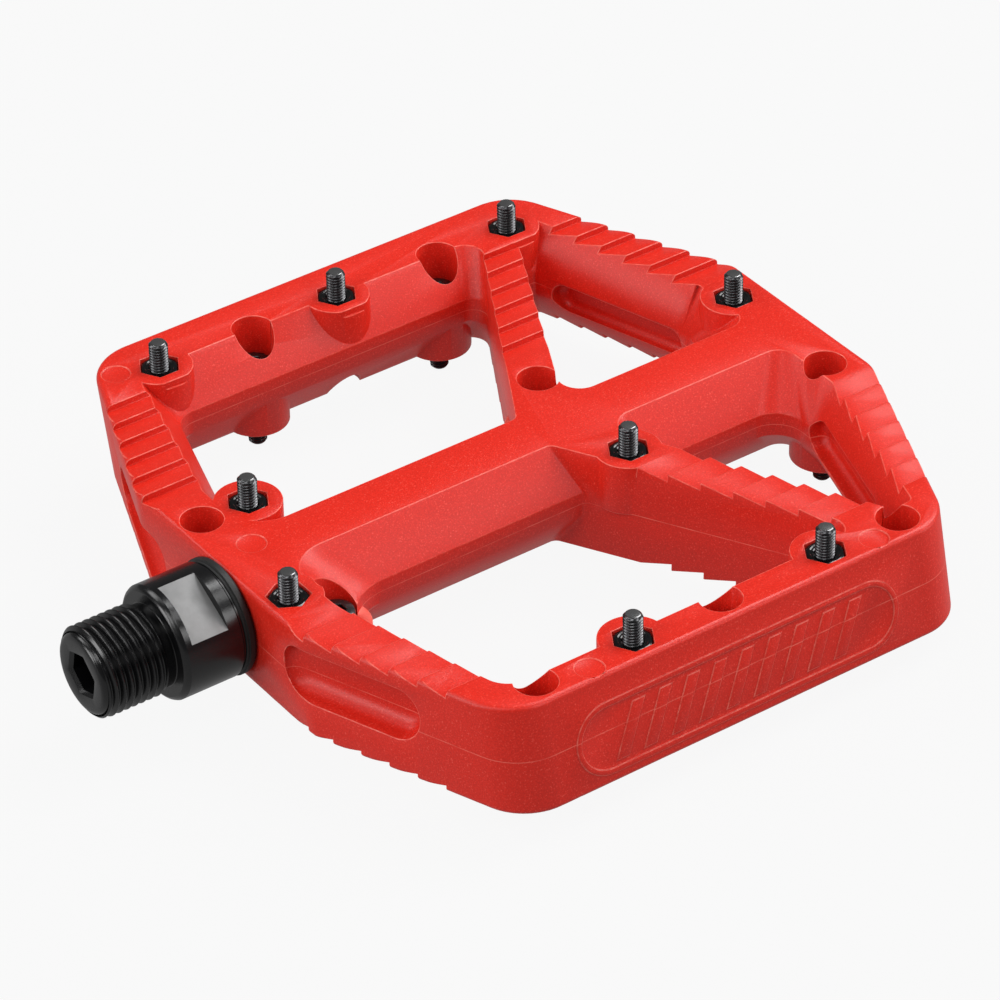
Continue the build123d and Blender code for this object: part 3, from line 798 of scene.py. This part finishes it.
def pin_surface(sizes, columns=24):
    """One traction pin about Z: head with a hexagon socket, shank and a screw thread to a
    rounded tip."""
    low = SCREW_LOW.z
    tip = SCREW_HIGH.z
    head_height = 3 * MM
    head_radius = 2.75 * MM
    socket_flat = 1.25 * MM
    socket_depth = 1.6 * MM
    socket_break = 0.1 * MM
    head_break = 0.1 * MM
    plain = 0.6 * MM
    thread_depth = 0.34 * MM
    thread_chamfer = 0.3 * MM
    tip_chamfer = 0.12 * MM
    seat_level = low + head_height
    shank = sizes.pin_thread / 2
    socket = ring_rule(socket_flat, 6, columns)
    head = [
        (low + socket_depth, 0), (low + socket_depth, socket), (low + socket_break, socket),
        (low, socket + socket_break), (low, head_radius - 0.35 * MM),
        (low + 0.12 * MM, head_radius - head_break), (low + 0.4 * MM, head_radius),
        (seat_level - head_break, head_radius), (seat_level, head_radius - head_break),
        (seat_level, shank), (seat_level + plain, shank),
    ]
    thread = thread_points(seat_level + plain, tip - tip_chamfer, sizes.pin_thread, thread_depth,
                           sizes.pin_pitch, thread_chamfer, columns, steps=8)
    end = [(tip - 0.03 * MM, 1.12 * MM), (tip, 0.95 * MM), (tip, 0)]
    points, faces = stacked_surface(
        [(stations_surface(head, columns), 0), thread, (stations_surface(end, columns), 0)],
        columns)
    return along_z(points), faces


def nut_surface(sizes, columns=48):
    """One hexagon nut about Z: flats, a top edge rounded as a quarter ellipse and a countersunk
    bore."""
    low, high = NUT_LOW.z, NUT_HIGH.z
    bore = 1.52 * MM
    countersink = 0.3 * MM
    inner_rim = 2.3 * MM
    rim_width = 0.78 * MM
    drop = 0.42 * MM
    dish = 0.12 * MM
    hexagon = ring_rule(sizes.nut_flats / 2, 6, columns, turn=math.radians(30))
    rows = [
        (low + countersink, bore), (low, bore + 0.25 * MM),
        (low, np.minimum(hexagon, 2.9 * MM)), (low + 0.2 * MM, np.minimum(hexagon, 3.1 * MM)),
    ]
    rows += [(high - drop * (1 - math.sin(t)),
              np.minimum(hexagon, inner_rim + rim_width * math.cos(t)))
             for t in np.linspace(0, math.pi / 2, 7)]
    rows += [
        (high - dish, inner_rim - 0.2 * MM), (high - dish, bore + 0.3 * MM),
        (high - 0.3 * MM, bore), (low + countersink, bore),
    ]
    points = stations_surface(rows, columns)
    return along_z(points.reshape(-1, 3)), grid_faces(len(rows), columns)


class PEDAL_OT_pins(bpy.types.Operator):
    """Makes the traction pins of both faces, with their real threads"""

    bl_idname = "pedal.pins"
    bl_label = "Traction pins"

    def execute(self, context):
        sizes, colours, _ = settings()
        places = piece_axes("upper_pin_screws", SCREW_HIGH.z, 3 * MM)
        places = np.column_stack([places, np.zeros(len(places))])
        points, faces = repeated(*pin_surface(sizes), places)
        finish = pin_finish("pin_steel", colours, SCREW_HIGH.z)
        for name, node, shape in (
            ("upper_traction_pins", "upper_pin_screws", points),
            ("lower_traction_pins", "lower_pin_screws", turned_over(points)),
        ):
            piece = mesh_piece(name, shape, faces, math.radians(40))
            piece.data.materials.append(finish)
            seat(piece, "platform", "dark_fastener", node)
        return {"FINISHED"}


class PEDAL_OT_nuts(bpy.types.Operator):
    """Makes the pins' hexagon nuts in their pockets on both faces"""

    bl_idname = "pedal.nuts"
    bl_label = "Pin nuts"

    def execute(self, context):
        sizes, colours, _ = settings()
        places = piece_axes("upper_pin_screws", SCREW_HIGH.z, 3 * MM)
        places = np.column_stack([places, np.zeros(len(places))])
        turned = places[:, 0] == places[:, 0].min()
        points, faces = repeated(*nut_surface(sizes), places)
        points = points.reshape(len(places), -1, 3)
        points[turned] = quarter_turned(points[turned], places[turned][0, :2])
        points = points.reshape(-1, 3)
        finish = plated_finish("nut_black", colours.plated_black, 0.12)
        for name, node, shape in (
            ("upper_hexagon_nuts", "upper_pin_nuts", points),
            ("lower_hexagon_nuts", "lower_pin_nuts", turned_over(points)),
        ):
            piece = mesh_piece(name, shape, faces, math.radians(20))
            piece.data.materials.append(finish)
            seat(piece, "platform", "dark_fastener", node)
        return {"FINISHED"}


class PEDAL_OT_inner_works(bpy.types.Operator):
    """Finishes the pieces inside the cage: bush, bearings, washer, lock nut and end cap"""

    bl_idname = "pedal.inner_works"
    bl_label = "Bush, bearings and end cap"

    def execute(self, context):
        _, colours, _ = settings()
        ground_grey = (0.62, 0.62, 0.63)
        zinc_blue = (0.5, 0.52, 0.55)
        polymer_buff = (0.3, 0.27, 0.2)
        plastic_black = (0.014, 0.014, 0.015)
        ground = steel_finish("ground_steel", ground_grey, 0.2)
        zinc = steel_finish("zinc_plate", zinc_blue, 0.38)
        bush = rubber_finish("bush_polymer", polymer_buff)
        plastic = rubber_finish("cap_plastic", plastic_black)
        rubber = rubber_finish("ring_rubber", colours.rubber)
        finishes = {
            "plain_bush": bush, "lock_nut_ring": bush, "lock_washer": zinc, "lock_nut": zinc,
            "end_cap": plastic, "end_cap_ring": rubber,
        }
        for bearing in ("inboard_bearing", "outboard_bearing"):
            for part in ("outer_ring", "inner_ring", "balls", "ball_cage"):
                finishes[bearing + "_" + part] = ground
            finishes[bearing + "_shields"] = rubber
        for node, material in finishes.items():
            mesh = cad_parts[node].data
            mesh.materials.clear()
            mesh.materials.append(material)
        return {"FINISHED"}


# ---- Stage ----------------------------------------------------------------------------------
# Each soft box: its name, its heading from the view's own (degrees, clockwise from above), its
# height above the floor's plane (degrees) and its share of the power.
SOFT_BOXES = (
    ("low_right", 90, 12, 0.077),
    ("low_left", 250, 12, 0.140),
    ("back_right", 60, 34, 0.151),
    ("front_right", 126, 34, 0.097),
    ("front_left", 230, 34, 0.095),
    ("back_left", 286, 34, 0.088),
    ("high_back", 40, 56, 0.195),
    ("high_right", 80, 56, 0.083),
    ("high_front", 200, 56, 0.073),
    ("high_left", 280, 56, 0.029),
)


def soft_box(name, stage, heading, height, share):
    """A round area light that faces the pedal from a heading and a height."""
    data = bpy.data.lights.new(name, "AREA")
    data.shape = "DISK"
    data.size = stage.light_size
    data.energy = stage.light_power * share
    azimuth = stage.camera_azimuth + math.radians(heading)
    level = math.radians(height)
    away = Vector((math.sin(azimuth) * math.cos(level), math.cos(azimuth) * math.cos(level),
                   math.sin(level)))
    middle = (CAGE_LOW + CAGE_HIGH) / 2
    lamp = bpy.data.objects.new(name, data)
    lamp.location = middle + away * stage.light_distance
    lamp.rotation_euler = away.to_track_quat("Z", "Y").to_euler()
    bpy.context.scene.collection.objects.link(lamp)


class PEDAL_OT_stage(bpy.types.Operator):
    """Makes the floor, the surroundings, the lights and the camera"""

    bl_idname = "pedal.stage"
    bl_label = "Stage"

    def execute(self, context):
        _, _, stage = settings()
        self.floor(context, stage)
        self.surroundings(context, stage)
        for name, heading, height, share in SOFT_BOXES:
            soft_box(name, stage, heading, height, share)
        self.camera(context, stage)
        context.scene.view_settings.view_transform = "Standard"
        return {"FINISHED"}

    def floor(self, context, stage):
        """A plain floor that the lower pins stand on."""
        half = stage.floor_size / 2
        level = CAD_BOX[0][2]
        corners = [(-half, -half, level), (half, -half, level), (half, half, level),
                   (-half, half, level)]
        mesh = bpy.data.meshes.new("floor")
        mesh.from_pydata(corners, [], [(0, 1, 2, 3)])
        floor = bpy.data.objects.new("floor", mesh)
        context.scene.collection.objects.link(floor)
        finish = Finish("floor_paint", stage.floor_colour, 0.9)
        finish.shader.inputs["Specular IOR Level"].default_value = 0.0
        finish.shader.inputs["Emission Color"].default_value = (1, 1, 1, 1)
        seen = finish.tree.nodes.new("ShaderNodeLightPath").outputs["Is Camera Ray"]
        glow = ranged(finish.tree, seen, 0.0, 1.0, stage.floor_bounce, stage.floor_glow)
        finish.tree.links.new(glow, finish.shader.inputs["Emission Strength"])
        mesh.materials.append(finish.material)

    def surroundings(self, context, stage):
        """Plain surroundings, dim beside the soft boxes."""
        world = bpy.data.worlds.new("studio")
        world.use_nodes = True
        background = world.node_tree.nodes["Background"]
        background.inputs["Color"].default_value = (1, 1, 1, 1)
        background.inputs["Strength"].default_value = stage.world_strength
        context.scene.world = world

    def camera(self, context, stage):
        """A long lens that looks down along the heading, from its distance to the aim."""
        flat = math.cos(stage.camera_elevation)
        forward = Vector((math.sin(stage.camera_azimuth) * flat,
                          math.cos(stage.camera_azimuth) * flat,
                          -math.sin(stage.camera_elevation)))
        right = forward.cross(Vector((0, 0, 1))).normalized()
        right = Matrix.Rotation(stage.camera_roll, 3, forward) @ right
        up = right.cross(forward)
        data = bpy.data.cameras.new("camera")
        data.lens = stage.camera_lens
        data.sensor_width = 36
        data.clip_end = 50
        camera = bpy.data.objects.new("camera", data)
        turn = Matrix((right, up, -forward)).transposed().to_4x4()
        place = Vector(stage.aim) - forward * stage.camera_distance
        camera.matrix_world = Matrix.Translation(place) @ turn
        context.scene.collection.objects.link(camera)
        context.scene.camera = camera


# ---- Panel and registration -----------------------------------------------------------------
BUILD_ORDER = (
    PEDAL_OT_stage, PEDAL_OT_cage, PEDAL_OT_spindle, PEDAL_OT_seal, PEDAL_OT_pins,
    PEDAL_OT_nuts, PEDAL_OT_inner_works,
)


class PEDAL_PT_panel(bpy.types.Panel):
    """Lists the pedal's sizes, colours and steps"""

    bl_idname = "PEDAL_PT_panel"
    bl_label = "Flat pedal"
    bl_space_type = "VIEW_3D"
    bl_region_type = "UI"
    bl_category = "Pedal"

    def draw(self, context):
        layout = self.layout
        for group in settings():
            for name in group.__annotations__:
                layout.prop(group, name)
        for operator in BUILD_ORDER:
            layout.operator(operator.bl_idname)


CLASSES = (PedalSizes, PedalFinish, StageSettings, *BUILD_ORDER, PEDAL_PT_panel)


def register():
    for cls in CLASSES:
        bpy.utils.register_class(cls)
    bpy.types.Scene.pedal_sizes = PointerProperty(type=PedalSizes)
    bpy.types.Scene.pedal_finish = PointerProperty(type=PedalFinish)
    bpy.types.Scene.pedal_stage = PointerProperty(type=StageSettings)


def unregister():
    del bpy.types.Scene.pedal_stage
    del bpy.types.Scene.pedal_finish
    del bpy.types.Scene.pedal_sizes
    for cls in reversed(CLASSES):
        bpy.utils.unregister_class(cls)


def main():
    register()
    for operator in BUILD_ORDER:
        family, action = operator.bl_idname.split(".")
        getattr(getattr(bpy.ops, family), action)()


if __name__ == "__main__":
    main()
